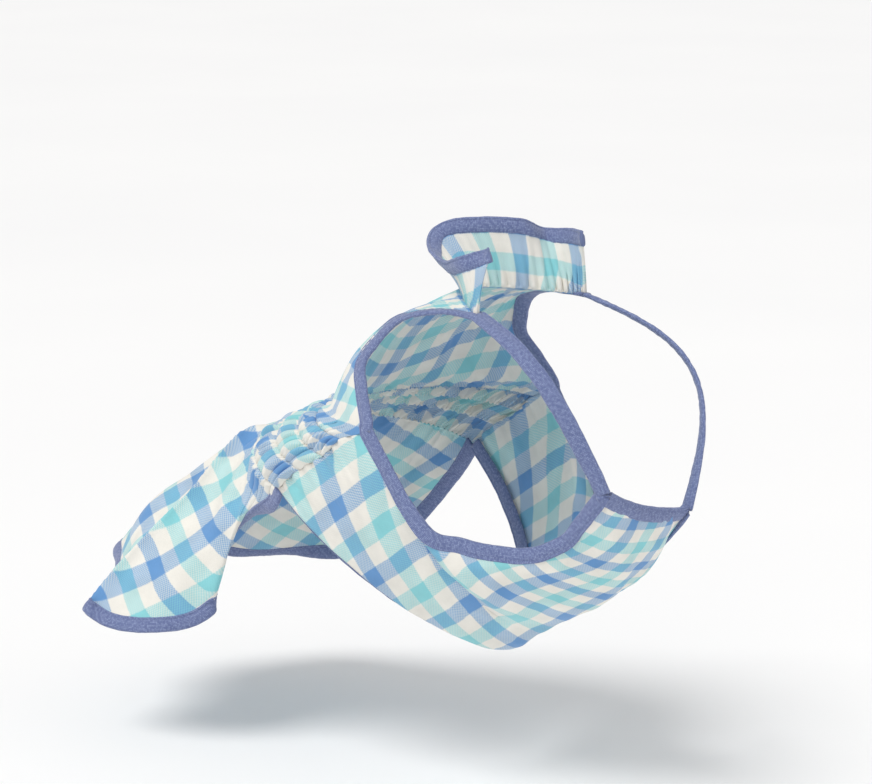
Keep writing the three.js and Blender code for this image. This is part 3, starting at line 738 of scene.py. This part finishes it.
def bib_path(t):
    return belly_cloth(np.zeros(t.shape), 1 - 2 * t)


def bib_face(t):
    return outward(np.zeros(t.shape), (1 - 2 * t) * EDGE_FACE)


def belly_path(t):
    down, across = np.full(t.shape, float(BELLY_END)), (2 * t - 1) * BELLY_SHARE
    edge = belly_cloth(down, across)
    return edge - outward(down, across) * TUCK - unit(edge - belly_cloth(down - 0.1, across)) * SET_BACK


def belly_face(t):
    return outward(np.full(t.shape, float(BELLY_END)), (2 * t - 1) * EDGE_FACE)


belly_trim = []
for part, path, face, lift, seed in (("bib_binding", bib_path, bib_face, STITCH_LIFT, 301),
                                     ("belly_binding", belly_path, belly_face, -STITCH_LIFT, 311)):
    piece = folded_binding(f"{part}_cloth", path, face, BINDING_WIDTH, -1, seed)
    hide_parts(part)
    belly_trim += [piece, stitch_row(f"{part}_stitches", path, face, STITCH_LINE * BINDING_WIDTH, lift)]

# Skirt binding
# One long strip of the same chambray, down one side edge of the skirt, round the hem and up the
# other side edge.

SIDE_STOPS = (0.02, 1, 2, 3, 4, 4.45)
HEM_STOPS = 40

stations = [(stop, -1) for stop in SIDE_STOPS]
stations += [(HEM_LINE, -1 + 2 * i / HEM_STOPS) for i in range(1, HEM_STOPS)]
stations += [(stop, 1) for stop in reversed(SIDE_STOPS)]
stations = np.array(stations, float)
skirt_line = skirt_surface(stations[:, 0], stations[:, 1])
skirt_faces = facing(skirt_surface, stations[:, 0], stations[:, 1] * EDGE_FACE)


def skirt_path(t):
    return between(skirt_line, t * (len(stations) - 1))


def skirt_face(t):
    return unit(between(skirt_faces, t * (len(stations) - 1)))


piece = folded_binding("skirt_binding_cloth", skirt_path, skirt_face, BINDING_WIDTH, -1, 401)
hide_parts("skirt_binding")
stitches = stitch_row("skirt_binding_stitches", skirt_path, skirt_face, STITCH_LINE * BINDING_WIDTH)

# Neck frill
# A gathered ruffle of the plaid that stands up from the neck elastic, leans back in one large flute
# and is bound along its rim with the chambray.

FRILL_HEIGHT = 0.025
FRILL_ROWS = np.array([  # back, up and inward from the neck elastic, right end to left end
    [-0.1, 0.95, 0.2], [0.0, 0.85, 0.15], [0.12, 0.7, -0.1], [0.3, 0.52, -0.1], [0.6, 0.58, -0.05],
    [0.68, 0.84, 0], [0.3, 1.0, 0.1], [0.2, 1.0, 0], [0.5, 0.85, -0.25], [0.2, 0.9, -0.1], [-0.1, 0.95, 0.2],
])
FRILL_LEAN = 1.4
FRILL_SHARE = 0.985
FRILL_GATHERS, FRILL_GATHER_HEIGHT = 17, 0.0013


def frill_cloth(rise, across):
    """The frill's points: rise runs from 0 at the neck elastic to 1 at the rim."""
    rise, across = np.broadcast_arrays(np.asarray(rise, float), np.asarray(across, float))
    row = between(FRILL_ROWS, (across + 1) / 2 * (len(FRILL_ROWS) - 1)) * FRILL_HEIGHT
    lean = np.maximum(rise, 0) ** FRILL_LEAN
    step = np.stack([-np.sign(across) * row[..., 2] * lean, row[..., 0] * lean, row[..., 1] * rise], -1)
    return back_cloth(np.zeros(rise.shape), across) + step


def frill_gather(rise, across):
    foot = np.exp(-(rise / 0.35)) * np.clip(rise / 0.05, 0, 1)
    end = np.clip((1 - np.abs(across)) / 0.06, 0, 1)
    turns = across * FRILL_GATHERS + 0.3 * ripple(across * 8, 41)
    return FRILL_GATHER_HEIGHT * foot * end * np.sin(turns * 2 * math.pi)


frill_surface = lifted(frill_cloth, frill_gather)
frill_rises = np.linspace(1, 0, 51)
frill_acrosses = np.linspace(-FRILL_SHARE, FRILL_SHARE, 261)
frill_laid = seam_laid(frill_cloth, frill_rises, frill_acrosses, lambda rise: 1 + 0.5 * (1 - rise))
frill = cloth_wall("frill_cloth", frill_surface, frill_rises, frill_acrosses, frill_laid)
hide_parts("neck_frill")


def frill_path(t):
    return frill_cloth(np.ones(t.shape), (2 * t - 1) * FRILL_SHARE)


def frill_face(t):
    return -facing(frill_cloth, np.ones(t.shape), (2 * t - 1) * FRILL_SHARE)


piece = folded_binding("frill_binding_cloth", frill_path, frill_face, BINDING_WIDTH, -1, 501)
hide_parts("frill_binding")
stitches = stitch_row("frill_binding_stitches", frill_path, frill_face, STITCH_LINE * BINDING_WIDTH)
